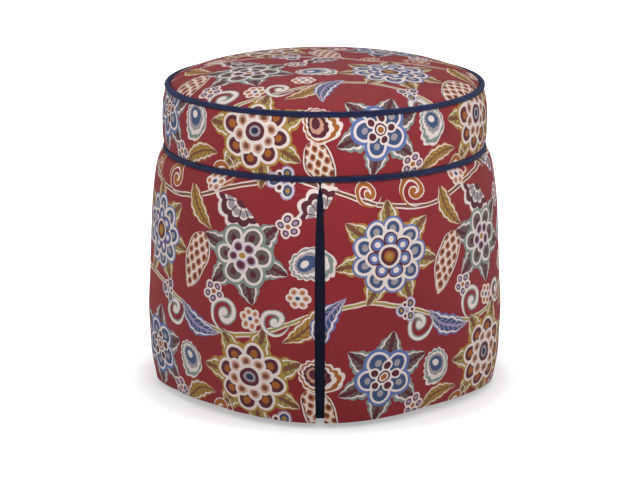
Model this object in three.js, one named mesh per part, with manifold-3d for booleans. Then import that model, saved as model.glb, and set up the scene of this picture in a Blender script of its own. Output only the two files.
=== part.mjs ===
// A round upholstered tuffet: a piped cushion on a plywood drum, with a skirt that has four kick pleats.
// Millimetres, +Z up. The origin is on the floor under the middle, and the front pleat faces -Y.
import * as THREE from "three";
import { mergeVertices } from "three/addons/utils/BufferGeometryUtils.js";
import Module from "manifold-3d";

// Heights of the whole
const topPipingHeight = 432; // floor to the middle of the piping round the seat
const boxingHeight = 88; // between the middles of the two pipings
const crownRise = 30; // the seat's middle above the piping
const hemHeight = 8; // floor to the skirt's hem at a pleat
const hemLift = 4; // how much higher the hem is between two pleats

// Drum
const drumRadius = 212;
const deckThickness = 18;
const deckRise = 2; // the deck's top above the middle of the lower piping
const baseThickness = 18;
const baseRingWidth = 62;
const wallThickness = 3;
const drumBattingThickness = 5;
const postWidth = 38;
const postInset = 28; // the drum's edge to a post's middle
const dustCoverThickness = 0.6;
const dustCoverInset = 4; // the drum's edge to the cover's edge

// Feet
const footHeight = 22.4;
const footTopRadius = 22;
const footBottomRadius = 18;
const glidePadHeight = 5;
const glidePadRadius = 14;
const glideEdge = 1.5;
const nailRadius = 1.6;
const nailLength = 9;
const nailTip = 2;
const boltRadius = 4;
const boltDepthInFoot = 12;
const boltDepthInBase = 15;
const boltTip = 1.5;

// Screws
const screwLength = 50;
const screwRadius = 2.3;
const screwHeadRadius = 4.6;
const screwHeadHeight = 3;
const screwTip = 6;
const baseScrewOffset = 12; // a post's middle to the screw under it, towards the drum's axis

// Covers and fillings
const coverThickness = 1.6;
const cushionFullness = 10.6; // how far the cushion's side swells past its tail
const tailLength = 18; // the boxing's tail below the middle of the lower piping
const sideBattingThickness = 4;
const foamCrownRise = 18;
const foamTopShoulder = 9;
const foamBottomTuck = 2; // the foam's lower edge inside the drum's wall
const foamBottomTuckHeight = 14;
const foamDomeDrop = 15; // the foam's dome at its edge, below the top piping's middle

// Piping
const pipingRadius = 4.2;
const flangeThickness = 1.2;
const flangeLength = 14;
const topPipingInset = 7; // the piping's middle inside the cushion's fullest side

// Skirt
const clothThickness = 1.8;
const layerGap = 0.6; // between two layers of cloth in a pleat
const headingThickness = 1.5;
const headingDepth = 22;
const tackStripThickness = 1.5;
const tackStripDepth = 12;
const bellyReach = 22.6; // how far the skirt's belly stands past its top edge, at a pleat
const pleatStack = 5.2; // how far a pleat's layers lift the skirt's top edge
const hemFlatness = 14; // how much nearer the axis the hem is between two pleats
const pleatGap = 14.4; // between the two edges of a pleat, where it is widest
const pleatReturn = 42; // how far a panel's edge is folded back
const insertThickness = 1.2;
const insertHalfWidth = 52;
const insertSetback = 6.4; // the insert's middle behind the panel's face, at the top
const insertSetbackAtHem = 9;
const insertHemLift = 3; // the insert's hem above the panel's
const liningThickness = 0.8;
const liningClearance = 0.8;
const liningHemLift = 14; // the lining's hem above the panel's
const liningTopGap = 1; // the heading to the lining's top edge under it

// Clearances
const seatGap = 0.3; // between two pieces that bear on each other
const holeGap = 0.3; // round a fastener
const cutOverrun = 1;

// How finely round things are drawn
const ringSegments = 40;
const footSegments = 12;
const screwSegments = 8;
const pipingSides = 6;
const panelSegments = 12;
const foldSegments = 3;
const insertSegments = 6;
const crownSteps = 5;

// Shapes, as shares chosen by eye
const crownPowerShare = 4; // how flat the seat's middle is
const boxingShares = [
  // height between the pipings, reach of the swell
  [0, 0],
  [0.035, 0],
  [0.06, 0.38],
  [0.115, 0.76],
  [0.25, 0.96],
  [0.5, 1],
  [0.75, 0.93],
  [0.9, 0.72],
  [1, 0.5],
];
const skirtShares = [
  // height from hem to top, reach between top edge and belly, opening of a pleat
  [0, 0.6, 0.8],
  [0.1, 0.855, 0.9],
  [0.2, 0.947, 1],
  [0.32, 1, 1],
  [0.62, 0.761, 1],
  [0.78, 0.62, 0.84],
  [0.88, 0.442, 0.61],
  [0.94, 0.26, 0.43],
  [0.975, 0.07, 0.22],
  [1, 0, 0.08],
];
const flatnessPowerShare = 1.2; // how the flattening fades towards the skirt's top
const returnShares = [1, 0.5]; // of a return's depth, where its cloth is drawn

// Counts
const pleatCount = 4;

// Heights and radii that follow
const lowerPipingHeight = topPipingHeight - boxingHeight;
const deckTop = lowerPipingHeight + deckRise;
const deckBottom = deckTop - deckThickness;
const baseBottom = glidePadHeight + footHeight + dustCoverThickness;
const baseTop = baseBottom + baseThickness;
const baseBoreRadius = drumRadius - baseRingWidth;
const postRadius = drumRadius - postInset; // the drum's axis to a post's middle
const wallInner = drumRadius + seatGap;
const wallOuter = wallInner + wallThickness;
const tailOuter = wallOuter + seatGap + coverThickness;
const cushionRadius = tailOuter + cushionFullness;
const lowerPipingRing = tailOuter + seatGap + pipingRadius;
const topPipingRing = cushionRadius - topPipingInset;
const headingInner = tailOuter + seatGap + flangeThickness + seatGap;
const headingOuter = headingInner + headingThickness;
const headingTop = lowerPipingHeight - pipingRadius - seatGap;
const headingBottom = headingTop - headingDepth;
const tackStripInner = headingOuter + seatGap;
const tackStripOuter = tackStripInner + tackStripThickness;
const skirtTopBetween = tackStripOuter + layerGap + clothThickness;
const skirtTopAtPleat = skirtTopBetween + pleatStack;
const seamEdgeRadius = topPipingRing - pipingRadius - seatGap; // where the seat panel meets the piping
const flangeBottom = topPipingHeight - flangeLength;

const wasm = await Module();
wasm.setup();

// Solids for cutting

function solidOf(geometry) {
  const bare = geometry.clone();
  bare.deleteAttribute("normal");
  bare.deleteAttribute("uv");
  const merged = mergeVertices(bare);
  return new wasm.Manifold(
    new wasm.Mesh({
      numProp: 3,
      vertProperties: merged.attributes.position.array,
      triVerts: new Uint32Array(merged.index.array),
    }),
  );
}

function geometryOf(solid) {
  const mesh = solid.getMesh();
  const geometry = new THREE.BufferGeometry();
  geometry.setAttribute("position", new THREE.BufferAttribute(mesh.vertProperties, mesh.numProp));
  geometry.setIndex(new THREE.BufferAttribute(mesh.triVerts, 1));
  return geometry;
}

function cutBy(geometry, cutters) {
  let solid = solidOf(geometry);
  for (const cutter of cutters) solid = solid.subtract(solidOf(cutter));
  return geometryOf(solid);
}

// Outlines in a half plane: x is the radius and y the height

const point = (radius, height) => new THREE.Vector2(radius, height);

// The line moved sideways by a distance, to the left of its direction
function besideLine(line, distance) {
  const sideways = (from, to) => {
    const along = to.clone().sub(from).normalize();
    return point(-along.y, along.x);
  };
  return line.map((place, index) => {
    const before = sideways(line[Math.max(index - 1, 0)], line[Math.max(index, 1)]);
    const after = sideways(
      line[Math.min(index, line.length - 2)],
      line[Math.min(index + 1, line.length - 1)],
    );
    const middle = before.clone().add(after).normalize();
    return place.clone().addScaledVector(middle, distance / middle.dot(after));
  });
}

// A turned solid. Its outline runs from the bottom up along the outside.
function turned(outline, segments) {
  return new THREE.LatheGeometry(outline, segments).rotateX(Math.PI / 2);
}

const closed = (outline) => [...outline, outline[0].clone()];

function ring(innerRadius, outerRadius, bottom, top, segments = ringSegments) {
  const outline = [
    point(innerRadius, bottom),
    point(outerRadius, bottom),
    point(outerRadius, top),
    point(innerRadius, top),
  ];
  return turned(closed(outline), segments);
}

// Materials

const finish = (color, roughness, metalness = 0) =>
  new THREE.MeshStandardMaterial({ color, roughness, metalness });
const printCloth = finish("#8c2a30", 0.85);
const navyCloth = finish("#26304f", 0.85);
const liningCloth = finish("#cfc7b4", 0.9);
const cambric = finish("#1c1c1e", 0.95);
const battingFibre = finish("#f2f1ec", 1);
const foam = finish("#e9dfb6", 0.95);
const plywood = finish("#c9a26e", 0.7);
const hardwood = finish("#b98a55", 0.65);
const fibreboard = finish("#8d6b47", 0.85);
const buckram = finish("#e6e0d0", 0.9);
const nylon = finish("#2a2a2c", 0.5);
const zincSteel = finish("#b9bcc0", 0.35, 1);

const tuffet = new THREE.Group();

function addMesh(name, geometry, material, parent = tuffet) {
  const mesh = new THREE.Mesh(geometry, material);
  mesh.name = name;
  parent.add(mesh);
  return mesh;
}

// Fasteners. A screw is drawn with its head up and the head's face at height zero.

function screwOutline(gap) {
  return [
    point(0, -screwLength - gap),
    point(screwRadius + gap, screwTip - screwLength),
    point(screwRadius + gap, -screwHeadHeight - gap),
    point(screwHeadRadius + gap, -gap),
  ];
}

const screwGeometry = () => turned([...screwOutline(0), point(0, 0)], screwSegments);

function screwHole() {
  const mouth = [point(screwHeadRadius + holeGap, cutOverrun), point(0, cutOverrun)];
  return turned([...screwOutline(holeGap), ...mouth], screwSegments);
}

const pointingUp = (geometry) => geometry.rotateX(Math.PI);

// A bolt stands half in the foot and half in the base, with height zero at the foot's top
function boltOutline(gap) {
  const bottom = -boltDepthInFoot - gap;
  const top = dustCoverThickness + boltDepthInBase + gap;
  return [
    point(0, bottom),
    point(boltRadius - boltTip + gap, bottom),
    point(boltRadius + gap, bottom + boltTip),
    point(boltRadius + gap, top - boltTip),
    point(boltRadius - boltTip + gap, top),
    point(0, top),
  ];
}

// Four corners, each with its post, foot, glide and fasteners, stand between the pleats

const cornerAngle = (index) => ((index + 0.5) * 2 * Math.PI) / pleatCount;

function atCorner(geometry, index, radius, height) {
  return geometry.translate(radius, 0, height).rotateZ(cornerAngle(index));
}

function postGeometry() {
  const length = deckBottom - baseTop;
  const block = new THREE.BoxGeometry(postWidth, postWidth, length);
  block.translate(0, 0, length / 2);
  const deckHole = screwHole().translate(0, 0, length + deckThickness);
  const baseHole = pointingUp(screwHole()).translate(-baseScrewOffset, 0, -baseThickness);
  return cutBy(block, [deckHole, baseHole]);
}

function footGeometry() {
  const nailTop = nailLength + holeGap;
  const boltBottom = footHeight - boltDepthInFoot - holeGap;
  const outline = [
    point(0, nailTop),
    point(nailRadius + holeGap, nailTop),
    point(nailRadius + holeGap, 0),
    point(footBottomRadius, 0),
    point(footTopRadius, footHeight),
    point(boltRadius + holeGap, footHeight),
    point(boltRadius + holeGap, boltBottom),
    point(0, boltBottom),
  ];
  return turned(outline, footSegments);
}

function glideGeometry() {
  const outline = [
    point(0, 0),
    point(glidePadRadius - glideEdge, 0),
    point(glidePadRadius, glideEdge),
    point(glidePadRadius, glidePadHeight),
    point(nailRadius, glidePadHeight),
    point(nailRadius, glidePadHeight + nailLength - nailTip),
    point(0, glidePadHeight + nailLength),
  ];
  return turned(outline, footSegments);
}

function addCorner(index) {
  const number = index + 1;
  const corner = new THREE.Group();
  corner.rotation.z = cornerAngle(index);
  tuffet.add(corner);

  const post = addMesh(`post_${number}`, postGeometry(), hardwood, corner);
  post.position.set(postRadius, 0, baseTop);

  const foot = addMesh(`foot_${number}`, footGeometry(), hardwood, corner);
  foot.position.set(postRadius, 0, glidePadHeight);

  const glide = addMesh(`glide_${number}`, glideGeometry(), nylon, corner);
  glide.position.set(postRadius, 0, 0);

  const bolt = addMesh(`foot_bolt_${number}`, turned(boltOutline(0), screwSegments), zincSteel, corner);
  bolt.position.set(postRadius, 0, glidePadHeight + footHeight);

  const deckScrew = addMesh(`deck_screw_${number}`, screwGeometry(), zincSteel, corner);
  deckScrew.position.set(postRadius, 0, deckTop);

  const baseScrew = addMesh(`base_screw_${number}`, pointingUp(screwGeometry()), zincSteel, corner);
  baseScrew.position.set(postRadius - baseScrewOffset, 0, baseBottom);
}

// Drum: deck, base ring, wall, batting and dust cover

const corners = Array.from({ length: pleatCount }, (_, index) => index);

function addDeck() {
  const outline = [
    point(0, deckBottom),
    point(drumRadius, deckBottom),
    point(drumRadius, deckTop),
    point(0, deckTop),
  ];
  const screwHoles = corners.map((index) => atCorner(screwHole(), index, postRadius, deckTop));
  addMesh("seat_deck", cutBy(turned(outline, ringSegments), screwHoles), plywood);
}

function addBaseRing() {
  const plain = ring(baseBoreRadius, drumRadius, baseBottom, baseTop);
  const screwHoles = corners.map((index) =>
    atCorner(pointingUp(screwHole()), index, postRadius - baseScrewOffset, baseBottom),
  );
  const boltHoles = corners.map((index) => {
    const hole = turned(boltOutline(holeGap), screwSegments);
    return atCorner(hole, index, postRadius, baseBottom - dustCoverThickness);
  });
  addMesh("base_ring", cutBy(plain, [...screwHoles, ...boltHoles]), plywood);
}

function addDustCover() {
  const outline = [
    point(0, baseBottom - dustCoverThickness),
    point(drumRadius - dustCoverInset, baseBottom - dustCoverThickness),
    point(drumRadius - dustCoverInset, baseBottom),
    point(0, baseBottom),
  ];
  const boltHoles = corners.map((index) => {
    const hole = turned(boltOutline(holeGap), screwSegments);
    return atCorner(hole, index, postRadius, baseBottom - dustCoverThickness);
  });
  addMesh("dust_cover", cutBy(turned(outline, ringSegments), boltHoles), cambric);
}

function addDrumWall() {
  addMesh("drum_wall", ring(wallInner, wallOuter, baseBottom, deckTop), fibreboard);
  const inner = wallOuter + seatGap;
  const batting = ring(inner, inner + drumBattingThickness, baseBottom, headingBottom - seatGap);
  addMesh("drum_batting", batting, battingFibre);
}

// Cushion

const boxingTop = topPipingHeight - pipingRadius - seatGap;

// The boxing's face between the pipings, from the bottom up
function boxingLine() {
  return boxingShares.map(([heightShare, reachShare]) =>
    point(
      tailOuter + cushionFullness * reachShare,
      THREE.MathUtils.lerp(lowerPipingHeight, boxingTop, heightShare),
    ),
  );
}

function crownHeight(radius) {
  const share = (radius / topPipingRing) ** crownPowerShare;
  return topPipingHeight + crownRise * (1 - share);
}

// A dome's line from its edge to the axis, under the seat panel's face by a depth
function crownLine(edgeRadius, depth) {
  return Array.from({ length: crownSteps + 1 }, (_, step) => {
    const radius = edgeRadius * Math.cos((step / crownSteps) * (Math.PI / 2));
    return point(step === crownSteps ? 0 : radius, crownHeight(radius) - depth);
  });
}

function addTopPanel() {
  const face = [point(seamEdgeRadius, flangeBottom), ...crownLine(seamEdgeRadius, 0)];
  const inside = besideLine(face, coverThickness);
  inside[inside.length - 1].x = 0;
  addMesh("top_panel", turned([...inside.reverse(), ...face], ringSegments), printCloth);
}

function addBoxingBand() {
  const face = [point(tailOuter, lowerPipingHeight - tailLength), ...boxingLine().slice(1)];
  const inside = besideLine(face, coverThickness);
  addMesh("boxing_band", turned(closed([...face, ...inside.reverse()]), ringSegments), printCloth);
}

// A cord with the flange of its cover hanging from its inner side
function pipingOutline(ringRadius, height) {
  const flangeInner = ringRadius - pipingRadius;
  const inset = pipingRadius - flangeThickness;
  const start = -Math.PI / 2 - Math.asin(inset / pipingRadius);
  const cord = Array.from({ length: pipingSides + 1 }, (_, step) => {
    const angle = THREE.MathUtils.lerp(start, Math.PI, step / pipingSides);
    return point(
      ringRadius + pipingRadius * Math.cos(angle),
      height + pipingRadius * Math.sin(angle),
    );
  });
  return closed([
    point(flangeInner, height - flangeLength),
    point(flangeInner + flangeThickness, height - flangeLength),
    ...cord,
  ]);
}

function addPipings() {
  const top = pipingOutline(topPipingRing, topPipingHeight);
  addMesh("top_piping", turned(top, ringSegments), navyCloth);
  const lower = pipingOutline(lowerPipingRing, lowerPipingHeight);
  addMesh("lower_piping", turned(lower, ringSegments), navyCloth);
}

const foamRadius = cushionRadius - coverThickness - seatGap - sideBattingThickness - seatGap;
const foamEdgeHeight = topPipingHeight - foamDomeDrop;

// The foam's outside, from the bottom corner up over its dome
function foamLine() {
  const domeEdge = foamRadius - foamTopShoulder;
  const dome = Array.from({ length: crownSteps + 1 }, (_, step) => {
    const radius = domeEdge * Math.cos((step / crownSteps) * (Math.PI / 2));
    const share = (radius / domeEdge) ** crownPowerShare;
    return point(step === crownSteps ? 0 : radius, foamEdgeHeight + foamCrownRise * (1 - share));
  });
  return [
    point(wallOuter - foamBottomTuck, deckTop),
    point(foamRadius, deckTop + foamBottomTuckHeight),
    point(foamRadius, foamEdgeHeight - foamTopShoulder),
    ...dome,
  ];
}

function addCushionFilling() {
  const foamOutline = [point(0, deckTop), ...foamLine()];
  addMesh("seat_foam", turned(foamOutline, ringSegments), foam);

  const inside = besideLine(foamLine().slice(1), -seatGap);
  inside[inside.length - 1].x = 0;
  const underBoxing = besideLine(boxingLine(), coverThickness + seatGap);
  const side = underBoxing.filter(
    (place) => place.y > inside[0].y && place.y < flangeBottom - seatGap,
  );
  inside[0].y = side[0].y;
  const shoulder = seamEdgeRadius - coverThickness - seatGap;
  const top = crownLine(shoulder, coverThickness + seatGap);
  const outline = [
    ...inside.slice().reverse(),
    ...side,
    point(shoulder, flangeBottom - seatGap),
    ...top,
  ];
  addMesh("cushion_batting", turned(outline, ringSegments), battingFibre);
}

function addTopPipingBed() {
  const heading = ring(headingInner, headingOuter, headingBottom, headingTop);
  addMesh("skirt_heading", heading, buckram);
  const strip = ring(tackStripInner, tackStripOuter, headingTop - tackStripDepth, headingTop);
  addMesh("tack_strip", strip, fibreboard);
}

// Skirt. Angles run from the front, towards +X.

const around = (angle, radius, height) =>
  new THREE.Vector3(radius * Math.sin(angle), -radius * Math.cos(angle), height);

// From 0 at a pleat to 1 midway between two
const betweenPleats = (angle) => (1 - Math.cos(pleatCount * angle)) / 2;

function skirtHeight(angle, heightShare, lift = 0) {
  const hem = hemHeight + lift + hemLift * betweenPleats(angle);
  return THREE.MathUtils.lerp(hem, headingTop, heightShare);
}

// The reach and the pleat's opening at a share of the skirt's height
function skirtSharesAt(heightShare) {
  const above = Math.max(skirtShares.findIndex(([share]) => share >= heightShare), 1);
  const [lowShare, ...low] = skirtShares[above - 1];
  const [highShare, ...high] = skirtShares[above];
  const along = (heightShare - lowShare) / (highShare - lowShare);
  const [reach, opening] = low.map((share, index) =>
    THREE.MathUtils.lerp(share, high[index], along),
  );
  return { reach, opening };
}

// The radius of the skirt's face at a share of its height
function skirtRadius(angle, heightShare) {
  const atPleat = skirtTopAtPleat + bellyReach * skirtSharesAt(heightShare).reach;
  const fade = (1 - heightShare) ** flatnessPowerShare;
  return atPleat - betweenPleats(angle) * THREE.MathUtils.lerp(pleatStack, hemFlatness, fade);
}

// A closed sheet between rows of points on its outer and its inner face
function sheetGeometry(outerRows, innerRows) {
  const rowCount = outerRows.length;
  const columnCount = outerRows[0].length;
  const places = [...outerRows.flat(), ...innerRows.flat()];
  const outer = (row, column) => row * columnCount + column;
  const inner = (row, column) => (rowCount + row) * columnCount + column;
  const triangles = [];
  const quad = (a, b, c, d) => triangles.push(a, b, c, a, c, d);
  for (let row = 0; row < rowCount - 1; row += 1) {
    for (let column = 0; column < columnCount - 1; column += 1) {
      quad(
        outer(row, column),
        outer(row, column + 1),
        outer(row + 1, column + 1),
        outer(row + 1, column),
      );
      quad(
        inner(row, column),
        inner(row + 1, column),
        inner(row + 1, column + 1),
        inner(row, column + 1),
      );
    }
  }
  const lastRow = rowCount - 1;
  for (let column = 0; column < columnCount - 1; column += 1) {
    quad(inner(0, column), inner(0, column + 1), outer(0, column + 1), outer(0, column));
    quad(
      outer(lastRow, column),
      outer(lastRow, column + 1),
      inner(lastRow, column + 1),
      inner(lastRow, column),
    );
  }
  const lastColumn = columnCount - 1;
  for (let row = 0; row < rowCount - 1; row += 1) {
    quad(inner(row, 0), outer(row, 0), outer(row + 1, 0), inner(row + 1, 0));
    quad(
      outer(row, lastColumn),
      inner(row, lastColumn),
      inner(row + 1, lastColumn),
      outer(row + 1, lastColumn),
    );
  }
  const geometry = new THREE.BufferGeometry();
  const positions = places.flatMap((place) => place.toArray());
  geometry.setAttribute("position", new THREE.Float32BufferAttribute(positions, 3));
  geometry.setIndex(triangles);
  return geometry;
}

// A sheet of one thickness along rows of points down its middle
function clothAlong(rows, thickness) {
  const face = (side) =>
    rows.map((row) => {
      const plan = row.map((place) => point(place.x, place.y));
      const moved = besideLine(plan, (-side * thickness) / 2);
      return row.map((place, index) => new THREE.Vector3(moved[index].x, moved[index].y, place.z));
    });
  return sheetGeometry(face(1), face(-1));
}

// One row of a panel: return, fold, face, fold, return
function panelRow(heightShare) {
  const span = (2 * Math.PI) / pleatCount;
  const foldRadius = (clothThickness + layerGap) / 2;
  const halfGap = (pleatGap * skirtSharesAt(heightShare).opening) / 2;
  const opening = halfGap + foldRadius + clothThickness / 2;
  const faceAt = (angle) => skirtRadius(angle, heightShare) - clothThickness / 2;
  const place = (angle, depth) =>
    around(angle, faceAt(angle) - depth, skirtHeight(angle, heightShare));
  const foldAngle = opening / faceAt(0);
  const returnAngle = foldAngle + pleatReturn / faceAt(0);

  const returned = returnShares.map((share) =>
    place(THREE.MathUtils.lerp(foldAngle, returnAngle, share), 2 * foldRadius),
  );
  const fold = Array.from({ length: foldSegments }, (_, step) => {
    const turn = (step / foldSegments) * Math.PI;
    const angle = foldAngle - (foldRadius * Math.sin(turn)) / faceAt(0);
    return place(angle, foldRadius * (1 + Math.cos(turn)));
  });
  const faceStep = (span - 2 * foldAngle) / panelSegments;
  const half = Array.from({ length: panelSegments / 2 + 1 }, (_, step) =>
    place(foldAngle + step * faceStep, 0),
  );
  const firstHalf = [...returned, ...fold, ...half];
  const mirrored = firstHalf.slice(0, -1).reverse().map((spot) => {
    const angle = span - Math.atan2(spot.x, -spot.y);
    return around(angle, Math.hypot(spot.x, spot.y), spot.z);
  });
  return [...firstHalf, ...mirrored];
}

function addSkirtPanel(index) {
  const rows = skirtShares.map(([heightShare]) => panelRow(heightShare));
  const panel = addMesh(`skirt_panel_${index + 1}`, clothAlong(rows, clothThickness), printCloth);
  panel.rotation.z = (index * 2 * Math.PI) / pleatCount;
}

function addPleatInsert(index) {
  const rows = skirtShares.map(([heightShare]) => {
    const setback = THREE.MathUtils.lerp(insertSetbackAtHem, insertSetback, heightShare);
    const radius = skirtRadius(0, heightShare) - setback;
    const height = skirtHeight(0, heightShare, insertHemLift);
    return Array.from({ length: insertSegments + 1 }, (_, step) => {
      const side = THREE.MathUtils.lerp(-1, 1, step / insertSegments);
      return around((side * insertHalfWidth) / radius, radius, height);
    });
  });
  const insert = addMesh(`pleat_insert_${index + 1}`, clothAlong(rows, insertThickness), navyCloth);
  insert.rotation.z = (index * 2 * Math.PI) / pleatCount;
}

// The lining lies behind a panel, between its two returns and under the heading
function addSkirtLining(index) {
  const span = (2 * Math.PI) / pleatCount;
  const depth = clothThickness + liningClearance + liningThickness / 2;
  const edge = pleatGap / 2 + 2 * clothThickness + layerGap + pleatReturn + layerGap;
  const firstAngle = edge / skirtTopAtPleat;
  const steps = panelSegments / 2;
  const shareAt = (height) => (height - hemHeight) / (headingTop - hemHeight);
  const bottomShare = shareAt(hemHeight + liningHemLift);
  const topShare = shareAt(headingBottom - liningTopGap);
  const between = skirtShares.filter(([share]) => share > bottomShare && share < topShare);
  const shares = [bottomShare, ...between.map(([share]) => share), topShare];
  const rows = shares.map((heightShare) =>
    Array.from({ length: steps + 1 }, (_, step) => {
      const angle = THREE.MathUtils.lerp(firstAngle, span - firstAngle, step / steps);
      const radius = skirtRadius(angle, heightShare) - depth;
      return around(angle, radius, skirtHeight(angle, heightShare));
    }),
  );
  const lining = addMesh(`skirt_lining_${index + 1}`, clothAlong(rows, liningThickness), liningCloth);
  lining.rotation.z = (index * 2 * Math.PI) / pleatCount;
}

// Put together from the floor up
for (const index of corners) addCorner(index);
addDustCover();
addBaseRing();
addDeck();
addDrumWall();
addCushionFilling();
addBoxingBand();
addTopPanel();
addPipings();
addTopPipingBed();
for (const index of corners) {
  addPleatInsert(index);
  addSkirtLining(index);
  addSkirtPanel(index);
}

export default tuffet;
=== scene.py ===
import math

import bpy
from mathutils import Matrix, Vector, noise


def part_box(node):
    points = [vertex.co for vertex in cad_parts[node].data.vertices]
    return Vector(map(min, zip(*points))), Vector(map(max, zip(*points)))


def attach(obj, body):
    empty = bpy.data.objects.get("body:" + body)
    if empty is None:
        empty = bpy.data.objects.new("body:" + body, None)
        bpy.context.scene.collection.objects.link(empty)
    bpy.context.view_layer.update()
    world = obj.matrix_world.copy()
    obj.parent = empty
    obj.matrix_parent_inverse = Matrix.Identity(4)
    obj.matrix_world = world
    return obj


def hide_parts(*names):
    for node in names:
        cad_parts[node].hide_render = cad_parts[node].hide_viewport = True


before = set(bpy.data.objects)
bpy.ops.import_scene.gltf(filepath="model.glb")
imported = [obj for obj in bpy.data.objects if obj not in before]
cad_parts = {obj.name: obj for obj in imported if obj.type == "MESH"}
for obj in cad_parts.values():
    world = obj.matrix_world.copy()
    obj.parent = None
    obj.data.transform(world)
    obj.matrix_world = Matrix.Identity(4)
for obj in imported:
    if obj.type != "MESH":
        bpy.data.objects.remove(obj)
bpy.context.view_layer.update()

# Drum: a birch plywood deck and base ring, 18 mm thick, glued and screwed to four hardwood posts.
# The rims show the plies. Bent fibreboard 3 mm thick is stapled round them, and a strip of the
# same board holds the skirt's top edge.


def shade(code):
    """A colour as a shader takes it, from the usual six figures."""
    parts = [int(code[start:start + 2], 16) / 255 for start in (0, 2, 4)]
    linear = [((part + 0.055) / 1.055) ** 2.4 if part > 0.04045 else part / 12.92 for part in parts]
    return linear + [1]


def new_finish(name, roughness, specular=0.3, others=None):
    """A material, its node tree and its shader, with the shader's plain values set."""
    finish = bpy.data.materials.new(name)
    finish.use_nodes = True
    shader = finish.node_tree.nodes["Principled BSDF"]
    values = {"Roughness": roughness, "Specular IOR Level": specular, **(others or {})}
    for socket, value in values.items():
        shader.inputs[socket].default_value = value
    return finish, finish.node_tree, shader


def add(kind, inputs, tree=None, **settings):
    """A node whose inputs are values or other nodes' outputs. It joins the tree of those nodes."""
    for value in inputs.values():
        if isinstance(value, bpy.types.NodeSocket):
            tree = value.id_data
    made = tree.nodes.new(kind)
    for name, value in settings.items():
        setattr(made, name, value)
    for key, value in inputs.items():
        if isinstance(value, bpy.types.NodeSocket):
            tree.links.new(value, made.inputs[key])
        else:
            made.inputs[key].default_value = value
    return made


def calc(operation, first, second=0.0):
    return add("ShaderNodeMath", {0: first, 1: second}, operation=operation).outputs[0]


def times(first, second):
    return calc("MULTIPLY", first, second)


def mix(factor, first, second, blend="MIX"):
    inputs = {0: factor, 6: first, 7: second}
    return add("ShaderNodeMix", inputs, data_type="RGBA", blend_type=blend).outputs[2]


def ramp(factor, stops, interpolation="CONSTANT"):
    """Colours along a factor. Each stop is a place from 0 to 1 and a colour's six figures."""
    made = add("ShaderNodeValToRGB", {0: factor})
    made.color_ramp.interpolation = interpolation
    elements = made.color_ramp.elements
    while len(elements) < len(stops):
        elements.new(1)
    for element, (place, code) in zip(elements, stops):
        element.position = place
        element.color = shade(code)
    return made.outputs[0]


def parts_of(place):
    """The three numbers of a place."""
    return add("ShaderNodeSeparateXYZ", {0: place}).outputs


def mapped(place, scale=(1, 1, 1), turn=0.0):
    """A place stretched, and turned about the third axis by an angle in degrees."""
    inputs = {"Vector": place, "Scale": scale, "Rotation": (0, 0, math.radians(turn))}
    return add("ShaderNodeMapping", inputs).outputs[0]


def object_place(tree, scale=(1, 1, 1)):
    return mapped(add("ShaderNodeTexCoord", {}, tree).outputs["Object"], scale)


def grain(place, scale, detail=4.0, roughness=0.55):
    inputs = {"Vector": place, "Scale": scale, "Detail": detail, "Roughness": roughness}
    return add("ShaderNodeTexNoise", inputs).outputs["Fac"]


def dress(shader, dyed, height, depth):
    """The shader takes its colour, and a surface raised by the height times a depth in metres."""
    bump = add("ShaderNodeBump", {"Height": height, "Distance": depth, "Strength": 1.0})
    links = shader.id_data.links
    links.new(dyed, shader.inputs["Base Color"])
    links.new(bump.outputs[0], shader.inputs["Normal"])


def plywood_finish():
    two_plies = 0.004
    finish, tree, shader = new_finish("birch_plywood", 0.62)
    along = object_place(tree, (3, 42, 8))
    veneer = ramp(grain(along, 2.2, 6), [(0.3, "d9b98a"), (0.5, "cfa873"), (0.7, "bf9460")], "EASE")
    ply = calc("FRACT", times(parts_of(object_place(tree))[2], 1 / two_plies))
    plies = ramp(ply, [(0.0, "c99f68"), (0.46, "8d6238"), (0.54, "dabb8b"), (0.96, "8d6238")])
    facing = parts_of(add("ShaderNodeNewGeometry", {}, tree).outputs["Normal"])[2]
    flat = calc("GREATER_THAN", calc("ABSOLUTE", facing), 0.6)
    dress(shader, mix(flat, plies, veneer), grain(along, 5, 5), 0.0004)
    return finish


def grained_finish(name, roughness, specular, stretch, fineness, stops, depth):
    """A finish that its own grain colours and raises. Fineness is the grain's scale and detail."""
    finish, tree, shader = new_finish(name, roughness, specular)
    fibres = grain(object_place(tree, stretch), *fineness)
    dress(shader, ramp(fibres, stops, "EASE"), fibres, depth)
    return finish


def refinish(finish, *nodes):
    for node in nodes:
        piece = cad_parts[node]
        piece.data.materials.clear()
        piece.data.materials.append(finish)


def numbered(name):
    return [f"{name}_{number}" for number in range(1, 5)]


hardwood = grained_finish(
    "hardwood", 0.5, 0.3, stretch=(60, 60, 5), fineness=(1.6, 7, 0.62), depth=0.0004,
    stops=[(0.3, "8f6238"), (0.5, "ad7b49"), (0.72, "c4935c")],
)
fibreboard = grained_finish(
    "fibreboard", 0.8, 0.3, stretch=(1, 1, 2), fineness=(900, 3, 0.7), depth=0.0003,
    stops=[(0.3, "6f5036"), (0.55, "8f6c48"), (0.75, "a98259")],
)
refinish(plywood_finish(), "seat_deck", "base_ring")
refinish(hardwood, *numbered("post"))
refinish(fibreboard, "drum_wall", "tack_strip")

# Screws and bolts: zinc-plated steel. Two screws hold each post, one through the deck and one
# through the base ring, and a bolt joins each foot to the base ring.

steel = grained_finish(
    "zinc_steel", 0.35, 0.5, stretch=(1, 1, 1), fineness=(420, 3), depth=0.00005,
    stops=[(0.3, "a9adb2"), (0.7, "c9ccd0")],
)
steel.node_tree.nodes["Principled BSDF"].inputs["Metallic"].default_value = 1
refinish(steel, *numbered("deck_screw"), *numbered("base_screw"), *numbered("foot_bolt"))

# Fillings: a foam block cut to the cushion's form, with polyester batting over it. The skirt's top
# edge is sewn to a heading of stiff buckram.


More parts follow.
